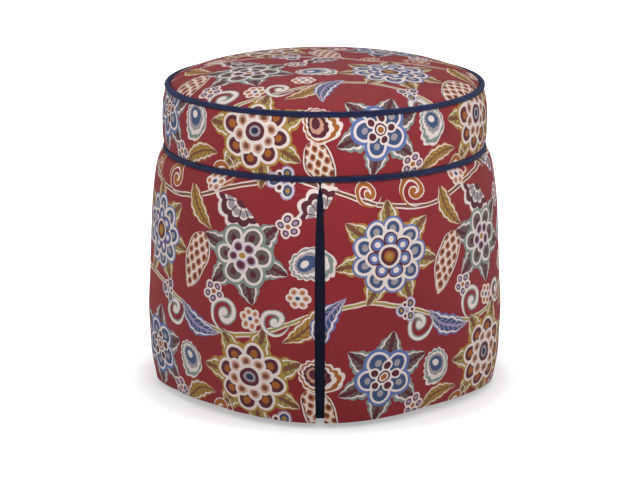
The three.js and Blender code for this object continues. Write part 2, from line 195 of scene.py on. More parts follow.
def celled_finish(name, roughness, specular, scale, stops, depth):
    """A finish of small cells: the bubbles of a foam, or the bonded dots of a spun cloth."""
    finish, tree, shader = new_finish(name, roughness, specular)
    cells = add("ShaderNodeTexVoronoi", {"Vector": object_place(tree), "Scale": scale}).outputs[0]
    dress(shader, ramp(cells, stops, "EASE"), cells, depth)
    return finish


def weave(place, pitch):
    """The height of a plain weave, on cloth whose place is in metres."""
    ways = parts_of(place)
    warp, weft = [calc("SINE", times(ways[axis], math.tau / pitch)) for axis in (0, 1)]
    return times(warp, weft)


def buckram_finish():
    finish, tree, shader = new_finish("buckram", 0.85, 0.2)
    threads = weave(object_place(tree), 0.003)
    # the colour follows the weave's height: its hollows are painted darker, as shade between the
    # threads
    dress(shader, ramp(threads, [(0.0, "cdc5b0"), (0.4, "e7e0ce")], "EASE"), threads, 0.0003)
    return finish


foam = celled_finish("foam", 0.95, 0.1, 900, [(0.0, "c9b67d"), (0.5, "e8dcae")], depth=0.0006)
batting = grained_finish(
    "batting", 1.0, 0.05, stretch=(1, 1, 2.5), fineness=(260, 8, 0.75), depth=0.0015,
    stops=[(0.3, "d9d8d2"), (0.6, "f4f3ef")],
)
refinish(foam, "seat_foam")
refinish(batting, "cushion_batting")
refinish(buckram_finish(), "skirt_heading")

# Feet: short tapered feet turned from the posts' wood, with a rounded foot and a small bead at the
# top. Each stands on a nylon glide that is nailed into it.


def start_piece(name, primitive, **sizes):
    """A new primitive, the only thing selected, from which a piece is made."""
    bpy.ops.object.select_all(action="DESELECT")
    primitive(**sizes)
    piece = bpy.context.object
    piece.name = piece.data.name = name
    return piece


def put_in_order(mesh):
    """The faces in a fixed order, each from its first corner, as spin gives another each run."""
    places = [vertex.co.copy() for vertex in mesh.vertices]
    faces = []
    for face in mesh.polygons:
        corners = list(face.vertices)
        start = corners.index(min(corners))
        faces.append(corners[start:] + corners[:start])
    mesh.clear_geometry()
    mesh.from_pydata(places, [], sorted(faces))


def turn_piece(name, outline, steps):
    """A piece of revolution: its outline, pairs of radius and height, is drawn and spun round."""
    piece = start_piece(name, bpy.ops.mesh.primitive_plane_add, size=0.001)
    bpy.ops.object.mode_set(mode="EDIT")
    bpy.ops.mesh.select_mode(type="VERT")
    bpy.ops.mesh.select_all(action="SELECT")
    # the plane becomes a point, and the outline is drawn out from it
    bpy.ops.mesh.merge(type="CENTER")
    bpy.ops.transform.translate(value=(outline[0][0], 0, outline[0][1]))
    for before, after in zip(outline, outline[1:]):
        step = (after[0] - before[0], 0, after[1] - before[1])
        bpy.ops.mesh.extrude_vertices_move(TRANSFORM_OT_translate={"value": step})
    bpy.ops.mesh.select_all(action="SELECT")
    bpy.ops.mesh.spin(steps=steps, angle=math.tau, center=(0, 0, 0), axis=(0, 0, 1))
    bpy.ops.mesh.select_all(action="SELECT")
    bpy.ops.mesh.remove_doubles(threshold=0.00001)
    bpy.ops.mesh.normals_make_consistent(inside=False)
    bpy.ops.object.mode_set(mode="OBJECT")
    put_in_order(piece.data)
    bpy.ops.object.shade_smooth_by_angle(angle=math.radians(35))
    return piece


def finish_piece(piece, finish, slot, *nodes):
    piece.data.materials.clear()
    piece.data.materials.append(finish)
    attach(piece, "root")
    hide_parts(*nodes)


nylon = grained_finish(
    "nylon", 0.45, 0.4, stretch=(1, 1, 1), fineness=(500, 3), depth=0.0001,
    stops=[(0.35, "242426"), (0.7, "343438")],
)
bolt_bore, bolt_depth = 0.0043, 0.0123
nail_bore, nail_depth = 0.0019, 0.0095
nail, pad, pad_top = 0.0016, 0.014, 0.005
for number in range(1, 5):
    foot_low, foot_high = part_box(f"foot_{number}")
    nail_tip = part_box(f"glide_{number}")[1].z
    top, bottom = foot_high.z, foot_low.z
    widest = (foot_high.x - foot_low.x) / 2
    narrow = widest * 0.8
    foot = turn_piece(f"turned_foot_{number}", [
        (0, bottom + nail_depth), (nail_bore, bottom + nail_depth), (nail_bore, bottom),
        (narrow - 0.0022, bottom), (narrow - 0.0008, bottom + 0.0006), (narrow, bottom + 0.0024),
        (narrow + 0.0018, bottom + 0.010), (widest - 0.0018, top - 0.0062),
        (widest - 0.0022, top - 0.0054), (widest - 0.0008, top - 0.0044), (widest, top - 0.0026),
        (widest - 0.0008, top - 0.0008), (widest - 0.0022, top), (bolt_bore, top),
        (bolt_bore, top - bolt_depth), (0, top - bolt_depth),
    ], 48)
    glide = turn_piece(f"nail_glide_{number}", [
        (0, 0), (pad - 0.003, 0), (pad - 0.0012, 0.0005), (pad, 0.0022), (pad, pad_top - 0.0006),
        (pad - 0.0006, pad_top), (nail, pad_top), (nail, nail_tip - 0.002), (0, nail_tip),
    ], 40)
    middle = (foot_low + foot_high) / 2
    for piece in (foot, glide):
        piece.data.transform(Matrix.Translation((middle.x, middle.y, 0)))
    finish_piece(foot, hardwood, "hardwood", f"foot_{number}")
    finish_piece(glide, nylon, "nylon", f"glide_{number}")

# Drum wrap: a layer of batting round the fibreboard under a cover of unbleached muslin, which is
# turned over the base ring's edge.


def cloth_place(tree):
    return add("ShaderNodeUVMap", {}, tree, uv_map="cloth").outputs[0]


def woven_finish(name, roughness, specular, pitch, depth, shadow, stretch, scale, stops):
    """A plain cloth of uneven threads. Shadow is how far the weave darkens its colour."""
    finish, tree, shader = new_finish(name, roughness, specular)
    place = cloth_place(tree)
    threads = weave(place, pitch)
    uneven = ramp(grain(mapped(place, stretch), scale, 3), stops, "EASE")
    dress(shader, mix(shadow, uneven, threads, "MULTIPLY"), threads, depth)
    return finish


def angle_of(place):
    """How far round the tuffet a place lies, from the front."""
    return math.atan2(place.x, -place.y)


def cloth_map(piece, place_of, radius):
    """A map in metres of the cloth. A face that spans the back keeps its corners on one side."""
    layer = piece.data.uv_layers.new(name="cloth")
    girth = math.tau * radius
    for face in piece.data.polygons:
        places = [place_of(piece.data.vertices[corner].co) for corner in face.vertices]
        first = places[0][0]
        for loop, (across, up) in zip(face.loop_indices, places):
            layer.data[loop].uv = (across - girth * round((across - first) / girth), up)


def round_the_drum(place):
    return angle_of(place) * wrap_radius, place.z


wrap_radius = 0.235
wrap_steps = 44
wrap_low, wrap_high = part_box("drum_batting")
outer, low, high = wrap_high.x, wrap_low.z, wrap_high.z
wrap_outline = [(outer - 0.0046, low + 0.0012), (outer - 0.0016, low + 0.0004)]
for step in range(wrap_steps + 1):
    share = step / wrap_steps
    swell = 0.0006 * math.sin(math.pi * share) - 0.0008
    wrap_outline.append((outer + swell, low + 0.002 + (high - low - 0.003) * share))
wrap_outline += [(outer - 0.0016, high - 0.0003), (outer - 0.0046, high - 0.0003)]
wrap = turn_piece("muslin_wrap", wrap_outline + wrap_outline[:1], 160)
for vertex in wrap.data.vertices:
    outward = Vector((vertex.co.x, vertex.co.y, 0)).normalized()
    vertex.co += outward * 0.0007 * noise.noise(vertex.co * Vector((18, 18, 9)))
cloth_map(wrap, round_the_drum, wrap_radius)
muslin = woven_finish(
    "muslin", 0.9, 0.15, pitch=0.0012, depth=0.00025, shadow=0.25, stretch=(40, 700, 1), scale=1,
    stops=[(0.3, "c9c0ab"), (0.7, "ddd6c5")],
)
finish_piece(wrap, muslin, "lining_cloth", "drum_batting")

# Dust cover: black spun cambric cut to a disc and stapled to the base ring every 35 mm or so.
# It sags a little inside the ring.

cover_low, cover_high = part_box("dust_cover")
cover_radius = cover_high.x
base_bore = 0.150


def sag(radius):
    inside = min(radius / (base_bore - 0.006), 1)
    return 0.004 * (1 - inside * inside) ** 2


cover_steps = 26
cover_rings = [cover_radius * step / cover_steps for step in range(cover_steps + 1)]
cover_outline = [(ring, cover_low.z - sag(ring)) for ring in cover_rings]
cover_outline += [(ring, cover_high.z - sag(ring)) for ring in reversed(cover_rings)]
dust_cover = turn_piece("cambric_cover", cover_outline, 144)

staple_count = 36
staple_ring = cover_radius - 0.009
for vertex in dust_cover.data.vertices:
    radius = Vector((vertex.co.x, vertex.co.y)).length
    # the cloth is drawn up between the staples, and is slack inside the ring
    drawn = max(0, 1 - abs(radius - staple_ring) / 0.03) if radius > base_bore else 0
    slack = max(0, 1 - radius / base_bore)
    slack *= 0.0012 * noise.noise(Vector((vertex.co.x * 14, vertex.co.y * 14, 3)))
    vertex.co.z += slack - 0.0002 * drawn * (1 - math.cos(angle_of(vertex.co) * staple_count))
cambric = celled_finish("cambric", 0.9, 0.2, 700, [(0.15, "101012"), (0.5, "222225")], depth=0.0002)
finish_piece(dust_cover, cambric, "cambric", "dust_cover")

staple_length, staple_width, staple_wire = 0.010, 0.0009, 0.0006
staple = start_piece("staple", bpy.ops.mesh.primitive_cube_add, size=1)
bpy.ops.object.mode_set(mode="EDIT")
bpy.ops.mesh.select_all(action="SELECT")
bpy.ops.transform.resize(value=(staple_length, staple_width, staple_wire))
bpy.ops.mesh.bevel(offset=0.0002, segments=2, affect="EDGES")
bpy.ops.object.mode_set(mode="OBJECT")
bpy.ops.object.select_all(action="DESELECT")
for count in range(staple_count):
    angle = (count + 0.5) * math.tau / staple_count + 0.02 * noise.noise(Vector((count, 0.5, 7)))
    lean = math.radians(14) * noise.noise(Vector((count * 1.7, 4, 0)))
    place = Matrix.Translation((staple_ring, 0, cover_low.z - staple_wire))
    turn = Matrix.Rotation(math.pi / 2 + lean, 4, "Z")
    twin = staple.copy()
    twin.data = staple.data.copy()
    twin.data.transform(Matrix.Rotation(angle, 4, "Z") @ place @ turn)
    bpy.context.collection.objects.link(twin)
    twin.select_set(True)
    bpy.context.view_layer.objects.active = twin
bpy.data.objects.remove(staple)
bpy.ops.object.join()
staples = bpy.context.object
staples.name = staples.data.name = "cover_staples"
finish_piece(staples, steel, "zinc_steel")

# Printed cloth: a linen and cotton cloth with a brick red ground, screen-printed in flat colours.
# The print is a trailing design of layered blossoms in leaf ruffs, scaly cones, curled drops, fans
# and tendrils, and it repeats every 369 mm across and 340 mm down.

cloth_repeat = (0.369, 0.340)
dyes = {
    "cream": "efe0da", "peach": "cf9d88", "ochre": "b0883f", "orange": "a9622c", "brown": "7c4f3c",
    "plum": "5b2a35", "taupe": "6c5f5b", "mist": "87958f", "grey": "a49ba0", "lavender": "ac98b6",
    "periwinkle": "6478b0", "slate": "43557c", "olive": "a89a55", "navy": "2c3152",
}


def dyed_bands(reach, bands):
    return ramp(reach, [(place, dyes[dye]) for place, dye in bands])


def within(reach, limit=1.0):
    return calc("LESS_THAN", reach, limit)


def plus(first, second):
    return calc("ADD", first, second)


def place_calc(operation, *places):
    return add("ShaderNodeVectorMath", dict(enumerate(places)), operation=operation).outputs[0]


def length_of(place):
    return add("ShaderNodeVectorMath", {0: place}, operation="LENGTH").outputs["Value"]


def reach_of(across, up):
    return length_of(add("ShaderNodeCombineXYZ", {0: across, 1: up}).outputs[0])


def polar(place):
    across, up, _ = parts_of(place)
    return length_of(place), calc("ARCTAN2", up, across)


def wrapped(value, half):
    """A value brought to within half a repeat of zero."""
    return add("ShaderNodeMath", {0: value, 1: half, 2: -half}, operation="WRAP").outputs[0]


def folded(angle, count, turn=0.0):
    """An angle turned and folded to the nearest of a number of like petals."""
    return wrapped(plus(angle, turn), math.pi / count)


def blossom(place, *rings):
    """Rings of petals, the lowest first: number, distance out, size, narrowing, turn and bands."""
    radius, angle = polar(place)
    dyed, mask = shade(dyes["cream"]), 0.0
    for count, out, size, narrow, turn, bands in rings:
        if count:
            near = folded(angle, count, turn)
            along = plus(times(radius, calc("COSINE", near)), -out)
            across = times(times(radius, calc("SINE", near)), narrow)
            reach = times(reach_of(along, across), 1 / size)
        else:
            reach = times(radius, 1 / size)
        inside = within(reach)
        dyed = mix(inside, dyed, dyed_bands(reach, bands))
        mask = calc("MAXIMUM", mask, inside)
    return dyed, mask


def leaf_parts(along, across, width, bands, vein):
    """A leaf from -1 to 1 along its rib, with a toothed edge and slanting veins."""
    taper = calc("SUBTRACT", 1.0, times(along, along))
    teeth = calc("ABSOLUTE", calc("SINE", times(along, 9.0)))
    half = times(taper, plus(times(teeth, 0.2 * width), width * 0.9))
    side = calc("ABSOLUTE", across)
    reach = calc("DIVIDE", side, calc("MAXIMUM", half, 0.0001))
    slant = calc("SUBTRACT", times(along, 4.5), times(side, 5.0))
    stripe, rib = within(calc("FRACT", slant), 0.2), within(side, 0.04)
    veined = times(calc("MAXIMUM", stripe, rib), within(reach, 0.6))
    dyed = mix(veined, dyed_bands(reach, bands), shade(dyes[vein]))
    return dyed, within(reach)


def leaf(place, width, bands, vein):
    along, across, _ = parts_of(place)
    bow = times(times(along, along), -0.3)
    return leaf_parts(along, plus(plus(across, bow), 0.12), width, bands, vein)


def whorl(place, leaves, width, bands, vein):
    radius, angle = polar(place)
    near = folded(angle, leaves)
    along = plus(times(times(radius, calc("COSINE", near)), 2.0), -1.0)
    across = times(radius, calc("SINE", near))
    dyed, mask = leaf_parts(along, across, width, bands, vein)
    return dyed, times(mask, within(radius))


def curled_drop(place, curl, bands):
    radius, angle = polar(place)
    bent = plus(angle, times(radius, -curl))
    tip = calc("POWER", calc("ABSOLUTE", calc("COSINE", times(bent, 0.5))), 7.0)
    scallop = calc("ABSOLUTE", calc("SINE", times(bent, 6.0)))
    edge = plus(plus(times(tip, 0.5), times(scallop, 0.07)), 0.43)
    reach = calc("DIVIDE", radius, edge)
    return dyed_bands(reach, bands), within(reach)


def tendril(place, turns, bands):
    radius, angle = polar(place)
    wound = plus(times(radius, turns), times(angle, -1 / math.tau))
    phase = calc("ABSOLUTE", plus(calc("FRACT", wound), -0.5))
    width = plus(times(radius, -0.24), 0.42)
    nearest = calc("MINIMUM", calc("DIVIDE", phase, width), times(radius, 1 / 0.26))
    return dyed_bands(nearest, bands), times(within(nearest), within(radius, 0.98))


def fan(place, ribs, bands, rib):
    radius, angle = polar(place)
    scallop = calc("ABSOLUTE", calc("COSINE", times(angle, ribs)))
    reach = calc("DIVIDE", radius, plus(times(scallop, 0.14), 0.86))
    line = times(within(scallop, 0.22), within(reach, 0.8))
    dyed = mix(line, dyed_bands(reach, bands), shade(dyes[rib]))
    return dyed, times(within(reach), within(calc("ABSOLUTE", angle), 1.18))


def cone(place, bands, edge_bands):
    """A bud covered in overlapping scales, from -1 at its stalk to 1 at its tip."""
    along, across, _ = parts_of(place)
    rows = times(along, 4.2)
    row = calc("FLOOR", rows)
    up = calc("SUBTRACT", rows, row)
    shifted = plus(times(across, 3.4), times(row, 0.5))
    side = calc("ABSOLUTE", plus(calc("FRACT", shifted), -0.5))
    own = reach_of(side, times(up, 0.62))
    above = reach_of(plus(side, -0.5), times(plus(up, -1.0), 0.62))
    scale = add("ShaderNodeMix", {0: within(own, 0.5), 2: above, 3: own}).outputs[0]
    scaly = dyed_bands(times(scale, 2.0), bands)
    taper = calc("SUBTRACT", 1.0, times(along, along))
    waist = plus(times(along, -0.16), 0.46)
    half = times(calc("POWER", calc("MAXIMUM", taper, 0.0001), 0.6), waist)
    reach = calc("DIVIDE", calc("ABSOLUTE", across), half)
    dyed = mix(within(reach, edge_bands[0][0]), dyed_bands(reach, edge_bands), scaly)
    return dyed, times(within(reach), within(calc("ABSOLUTE", along)))


# each motif is the function that draws it and its settings
warm_ruff = (whorl, 7, 0.24, [(0, "olive"), (0.6, "cream"), (0.76, "ochre")], "brown")
cool_ruff = (whorl, 6, 0.27, [(0, "taupe"), (0.58, "cream"), (0.76, "mist")], "plum")
blue_flower = (
    blossom,
    (9, 0.70, 0.30, 1, 0, [(0, "grey"), (0.3, "slate"), (0.6, "cream"), (0.84, "periwinkle")]),
    (7, 0.42, 0.25, 1, 0.3, [(0, "cream"), (0.3, "periwinkle"), (0.58, "plum"), (0.74, "cream")]),
    (0, 0, 0.30, 1, 0, [(0, "ochre"), (0.3, "orange"), (0.5, "plum"), (0.8, "cream")]),
)
red_flower = (
    blossom,
    (8, 0.68, 0.33, 1, 0, [(0, "orange"), (0.3, "plum"), (0.62, "cream"), (0.84, "ochre")]),
    (8, 0.44, 0.20, 1, 0.39, [(0, "brown"), (0.36, "peach"), (0.64, "cream")]),
    (0, 0, 0.34, 1, 0, [(0, "navy"), (0.26, "grey"), (0.44, "plum"), (0.74, "cream")]),
)
grey_flower = (
    blossom,
    (6, 0.60, 0.40, 1, 0, [(0, "plum"), (0.24, "taupe"), (0.58, "cream"), (0.78, "mist")]),
    (5, 0.30, 0.22, 1, 0.5, [(0, "plum"), (0.5, "lavender"), (0.7, "cream")]),
    (0, 0, 0.16, 1, 0, [(0, "ochre"), (0.6, "cream")]),
)
slate_flower = (
    blossom,
    (5, 0.54, 0.44, 1, 0, [(0, "grey"), (0.24, "slate"), (0.6, "cream"), (0.78, "periwinkle")]),
    (5, 0.36, 0.17, 1, 0.63, [(0, "plum"), (0.66, "cream")]),
    (0, 0, 0.2, 1, 0, [(0, "orange"), (0.5, "cream"), (0.75, "plum")]),
)
small_flower = (
    blossom,
    (5, 0.58, 0.42, 1, 0, [(0, "lavender"), (0.36, "plum"), (0.62, "cream")]),
    (0, 0, 0.3, 1, 0, [(0, "orange"), (0.6, "cream")]),
)
pale_flower = (
    blossom,
    (6, 0.6, 0.38, 1, 0, [(0, "orange"), (0.3, "peach"), (0.6, "cream")]),
    (0, 0, 0.3, 1, 0, [(0, "slate"), (0.6, "cream")]),
)
winged_bud = (
    blossom,
    (3, 0.52, 0.46, 1.1, 0.4, [(0, "ochre"), (0.3, "slate"), (0.62, "cream"), (0.8, "lavender")]),
    (3, 0.42, 0.24, 1, 1.45, [(0, "plum"), (0.5, "cream")]),
)
gold_leaf = (leaf, 0.36, [(0, "ochre"), (0.64, "cream"), (0.82, "orange")], "brown")
blue_leaf = (leaf, 0.34, [(0, "slate"), (0.62, "cream"), (0.82, "periwinkle")], "lavender")
scaly_cone = (
    cone,
    [(0, "plum"), (0.3, "orange"), (0.56, "peach"), (0.74, "cream")],
    [(0.84, "plum"), (0.9, "cream")],
)
warm_drop = (curled_drop, 1.1, [
    (0, "plum"), (0.26, "peach"), (0.42, "plum"), (0.6, "cream"), (0.74, "orange"), (0.88, "cream"),
])
cool_drop = (curled_drop, -1.2, [
    (0, "cream"), (0.2, "slate"), (0.44, "grey"), (0.6, "cream"), (0.76, "mist"), (0.9, "cream"),
])
plum_fan = (fan, 5.3, [
    (0, "plum"), (0.22, "cream"), (0.32, "grey"), (0.56, "cream"), (0.64, "plum"), (0.86, "cream"),
], "plum")
pale_tendril = (tendril, 1.5, [(0, "cream"), (0.6, "mist")])
warm_tendril = (tendril, 1.4, [(0, "orange"), (0.62, "cream")])

motifs = [
    # each motif's places in the repeat: across, up, turn in degrees and half its size
    (warm_ruff, [(0.276, 0.066, 30, 0.078), (0.092, 0.240, 12, 0.076)]),
    (cool_ruff, [(0.266, 0.236, 18, 0.068), (0.084, 0.070, 40, 0.066)]),
    (gold_leaf, [
        (0.190, 0.294, 60, 0.039), (0.352, 0.146, -48, 0.039), (0.178, 0.022, 158, 0.037),
    ]),
    (blue_leaf, [(0.186, 0.130, 24, 0.042), (0.010, 0.152, 112, 0.040)]),
    (scaly_cone, [(0.184, 0.216, 112, 0.045), (0.002, 0.018, 70, 0.043)]),
    (warm_drop, [(0.362, 0.082, 80, 0.039)]),
    (cool_drop, [(0.350, 0.230, 300, 0.041), (0.166, 0.078, 30, 0.039)]),
    (plum_fan, [(0.262, 0.312, 120, 0.043), (0.006, 0.300, 235, 0.039)]),
    (pale_tendril, [
        (0.136, 0.136, 0, 0.024), (0.238, 0.150, 120, 0.026), (0.312, 0.152, 40, 0.022),
    ]),
    (warm_tendril, [
        (0.132, 0.324, 80, 0.023), (0.222, 0.006, 300, 0.024), (0.066, 0.326, 30, 0.019),
    ]),
    (red_flower, [(0.276, 0.066, 10, 0.054)]),
    (blue_flower, [(0.092, 0.240, 0, 0.054)]),
    (grey_flower, [(0.266, 0.236, 0, 0.046)]),
    (slate_flower, [(0.084, 0.070, 30, 0.044)]),
    (winged_bud, [(0.316, 0.000, 40, 0.025), (0.118, 0.160, 160, 0.020)]),
    (small_flower, [
        (0.218, 0.178, 20, 0.018), (0.330, 0.284, 40, 0.018), (0.134, 0.018, 0, 0.018),
    ]),
    (pale_flower, [
        (0.278, 0.150, 10, 0.017), (0.214, 0.332, 0, 0.016), (0.344, 0.184, 0, 0.017),
    ]),
]
stem_width = 0.0036
stems = [
    # height in the repeat, swing, start of the wave and dye
    (0.150, 0.026, 0.6, "olive"), (0.322, 0.020, 2.4, "brown"),
]


def nearest_motif(drawn, places):
    """A place as the nearest of some like motifs sees it, from -1 to 1 across the motif."""
    half = Vector((cloth_repeat[0] / 2, cloth_repeat[1] / 2, 1))
    chosen = (9, 9, 0)
    for across, up, turn, size in places:
        near = place_calc("WRAP", place_calc("SUBTRACT", drawn, (across, up, 0)), half, -half)
        own = mapped(near, (1 / size, 1 / size, 1), turn)
        inputs = {0: within(length_of(own), 1.05), 4: chosen, 5: own}
        chosen = add("ShaderNodeMix", inputs, data_type="VECTOR").outputs[1]
    return chosen


def stem(place, height, swing, start):
    """A wavy stem across the repeat: how far a place lies from its middle, where 1 is its edge."""
    across, up, _ = parts_of(place)
    wave = calc("SINE", plus(times(across, math.tau / cloth_repeat[0]), start))
    off = plus(plus(up, -height), times(wave, -swing))
    return times(calc("ABSOLUTE", wrapped(off, cloth_repeat[1] / 2)), 1 / stem_width)


def printed_cloth(place):
    """The printed colour at a place on the cloth. The lines wander a little, as if hand-drawn."""
    inputs = {"Vector": place, "Scale": 26.0, "Detail": 1.0}
    drift = add("ShaderNodeTexNoise", inputs).outputs["Color"]
    centred = place_calc("SUBTRACT", drift, (0.5, 0.5, 0.5))
    drawn = place_calc("ADD", place, place_calc("MULTIPLY", centred, (0.009, 0.009, 0.009)))
    dyed = ramp(grain(place, 9.0, 2.0), [(0.3, "8b2a30"), (0.7, "962f36")], "LINEAR")
    for height, swing, start, dye in stems:
        reach = stem(drawn, height, swing, start)
        dyed = mix(within(reach), dyed, dyed_bands(reach, [(0, dye), (0.5, "cream")]))
    for (draw, *settings), places in motifs:
        motif, mask = draw(nearest_motif(drawn, places), *settings)
        dyed = mix(mask, dyed, motif)
    return dyed


def print_finish():
    sheen = {"Sheen Weight": 0.05, "Sheen Roughness": 0.4}
    finish, tree, shader = new_finish("printed_cloth", 0.8, 0.17, sheen)
    place = cloth_place(tree)
    threads = weave(place, 0.0011)
    slubs = grain(mapped(place, (60, 900, 1)), 1, 3)
    worn = ramp(slubs, [(0.3, "dedede"), (0.65, "ffffff")], "LINEAR")
    dyed = mix(0.5, printed_cloth(place), worn, "MULTIPLY")
    dress(shader, dyed, plus(threads, slubs), 0.00018)
    return finish


printed = print_finish()

# Cushion cover: a round crowned panel and a boxing band, cut from the printed cloth and sewn to the
# piping round the top edge. Foam and batting swell the cover between its seams.


def take(piece):
    bpy.ops.object.select_all(action="DESELECT")
    piece.select_set(True)
    bpy.context.view_layer.objects.active = piece


def apply_modifiers(piece):
    take(piece)
    for modifier in list(piece.modifiers):
        bpy.ops.object.modifier_apply(modifier=modifier.name)


def hold(piece, held):
    """The vertices that a seam holds, as a group for the cloth."""
    group = piece.vertex_groups.new(name="seam")
    group.add([vertex.index for vertex in piece.data.vertices if held(vertex.co)], 1.0, "REPLACE")


def puff(piece, pressure, cap):
    """Cloth held at its seams and pressed out from inside, each point by no more than the cap."""
    before = [vertex.co.copy() for vertex in piece.data.vertices]
    cloth = piece.modifiers.new("Cloth", "CLOTH")
    settings = cloth.settings
    settings.quality = 6
    settings.mass = 0.25
    settings.tension_stiffness = settings.compression_stiffness = 25
    settings.bending_stiffness = 4
    settings.use_pressure = True
    settings.uniform_pressure_force = pressure
    settings.shrink_min = settings.shrink_max = -0.006
    settings.vertex_group_mass = "seam"
    settings.effector_weights.gravity = 0
    cloth.point_cache.frame_start, cloth.point_cache.frame_end = 1, 20
    for count in range(1, 21):
        bpy.context.scene.frame_set(count)
    apply_modifiers(piece)
    bpy.context.scene.frame_set(1)
    for vertex, start in zip(piece.data.vertices, before):
        out = vertex.co - start
        if out.length > cap:
            vertex.co = start + out * (cap / out.length)


def thicken(piece, thickness, offset=-1):
    solid = piece.modifiers.new("Thickness", "SOLIDIFY")
    solid.thickness = thickness
    solid.offset = offset
    solid.use_even_offset = True


def make_up(piece):
    """The piece's modifiers are applied, and it is smooth but for its folds and edges."""
    apply_modifiers(piece)
    bpy.ops.object.shade_smooth_by_angle(angle=math.radians(50))


def make_cover(piece, node):
    finer = piece.modifiers.new("Finer", "SUBSURF")
    finer.levels = finer.render_levels = 1
    thicken(piece, 0.0016)
    make_up(piece)
    finish_piece(piece, printed, "print_cloth", node)


cord = 0.0039
seat_ring, seat_line = 0.2216, 0.4318
seam_radius = seat_ring - cord - 0.0002
crown_rise = 0.0298
panel_steps, panel_tail = 60, 0.011

seat_panel = start_piece("seat_panel", bpy.ops.mesh.primitive_grid_add, size=2,
                         x_subdivisions=panel_steps, y_subdivisions=panel_steps)
for vertex in seat_panel.data.vertices:
    # the square grid is drawn out into a disc, each ring of the square to a circle
    across, up = vertex.co.x, vertex.co.y
    if abs(across) > abs(up):
        reach, angle = across, math.pi / 4 * up / across
    else:
        reach, angle = up, math.pi / 2 - (math.pi / 4 * across / up if up else 0)
    # the rings stand closer towards the seam, where the panel turns down
    radius = reach * (1.35 - 0.35 * reach ** 2) * seam_radius
    crown = seat_line + crown_rise * (1 - (abs(radius) / seat_ring) ** 4)
    vertex.co = (radius * math.cos(angle), radius * math.sin(angle), crown)
hold(seat_panel, lambda place: Vector((place.x, place.y)).length > seam_radius - 0.0005)
puff(seat_panel, pressure=3.0, cap=0.0012)
cloth_map(seat_panel, lambda place: (place.x, place.y + seam_radius + seat_line), wrap_radius)
take(seat_panel)
bpy.ops.object.mode_set(mode="EDIT")
bpy.ops.mesh.select_all(action="DESELECT")
bpy.ops.mesh.select_mode(type="EDGE")
bpy.ops.mesh.select_non_manifold()
bpy.ops.mesh.extrude_edges_move(TRANSFORM_OT_translate={"value": (0, 0, -panel_tail)})
bpy.ops.object.mode_set(mode="OBJECT")
make_cover(seat_panel, "top_panel")

band_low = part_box("boxing_band")[0].z
band = turn_piece("boxing_cover", [
    # radius and height: the tail on the drum's wall, over the waist cord, and up to the seat cord
    (0.2171, band_low), (0.2171, 0.334), (0.2171, 0.3395), (0.2173, 0.3415), (0.2182, 0.3432),
    (0.2194, 0.3443), (0.2209, 0.3452), (0.2220, 0.3467), (0.2234, 0.3477), (0.2250, 0.3481),
    (0.2261, 0.3487), (0.2268, 0.3498), (0.2271, 0.3515), (0.2274, 0.3545), (0.2277, 0.359),
    (0.2278, 0.365), (0.2278, 0.371), (0.2278, 0.378), (0.2277, 0.385), (0.2276, 0.392),
    (0.2275, 0.399), (0.2273, 0.405), (0.2270, 0.410), (0.2264, 0.415), (0.2256, 0.419),
    (0.2248, 0.4225), (0.2244, 0.4248), (0.2241, 0.4264), (0.2235, 0.4273), (0.2226, 0.4274),
    (0.2214, 0.4272), (0.2203, 0.4270),
], 200)
waist_seam, seat_seam = 0.351, 0.4255
hold(band, lambda place: place.z < waist_seam or place.z > seat_seam)
puff(band, pressure=2.0, cap=0.003)
cloth_map(band, round_the_drum, wrap_radius)
make_cover(band, "boxing_band")

# Pipings: cotton cord in bias-cut navy cloth, sewn close to the cord. The sewing draws the cover in
# small puckers, and its flange hangs down inside the seam.

cord_sides = 22
pucker_depth, pucker_pitch, cord_unevenness = 0.00016, 0.0046, 0.00022


def navy_finish(name, dark, light, sheen):
    values = {"Sheen Weight": sheen, "Sheen Roughness": 0.4, "Sheen Tint": shade("8fa3d6")}
    finish, tree, shader = new_finish(name, 0.8, 0.15, values)
    place = cloth_place(tree)
    threads = weave(mapped(place, turn=45), 0.0009)
    plain = ramp(grain(place, 55.0, 4.0), [(0.3, dark), (0.7, light)], "EASE")
    # the weave's hollows are painted darker: painted shade between the threads
    valley_shade = ramp(threads, [(0, "b4b4b4"), (0.6, "ffffff")], "LINEAR")
    dress(shader, mix(0.3, plain, valley_shade, "MULTIPLY"), threads, 0.0002)
    return finish


def around(angle, radius, height):
    """A place so far round from the front, out from the middle and up."""
    return radius * math.sin(angle), -radius * math.cos(angle), height


def piping(name, node, ring, line, flange_under, flange_over):
    """A cord with its flange: its under side from its foot to the cord, and its upper side back."""
    def on_section(place):
        return Vector((math.hypot(place.x, place.y) - ring, place.z - line))

    def on_cloth(place):
        out, up = on_section(place)
        return angle_of(place) * ring, math.atan2(up, out) * cord

    outline = list(flange_under)
    first, last = -math.radians(125), math.radians(195)
    for side in range(cord_sides + 1):
        angle = first + (last - first) * side / cord_sides
        outline.append((ring + cord * math.cos(angle), line + cord * math.sin(angle)))
    outline += flange_over
    piece = turn_piece(name, outline + outline[:1], 480)
    for vertex in piece.data.vertices:
        angle, section = angle_of(vertex.co), on_section(vertex.co)
        if section.y < -cord:
            continue
        near_seam = max(0, -section.normalized().x)
        pucker = pucker_depth * near_seam * math.sin(angle * ring / pucker_pitch * math.tau)
        uneven = cord_unevenness * noise.noise(Vector((angle * 9, section.y * 60, line)))
        vertex.co += Vector(around(angle, *section)).normalized() * (pucker + uneven)
    cloth_map(piece, on_cloth, ring)
    bpy.ops.object.shade_smooth_by_angle(angle=math.radians(60))
    finish_piece(piece, navy, "navy_cloth", node)


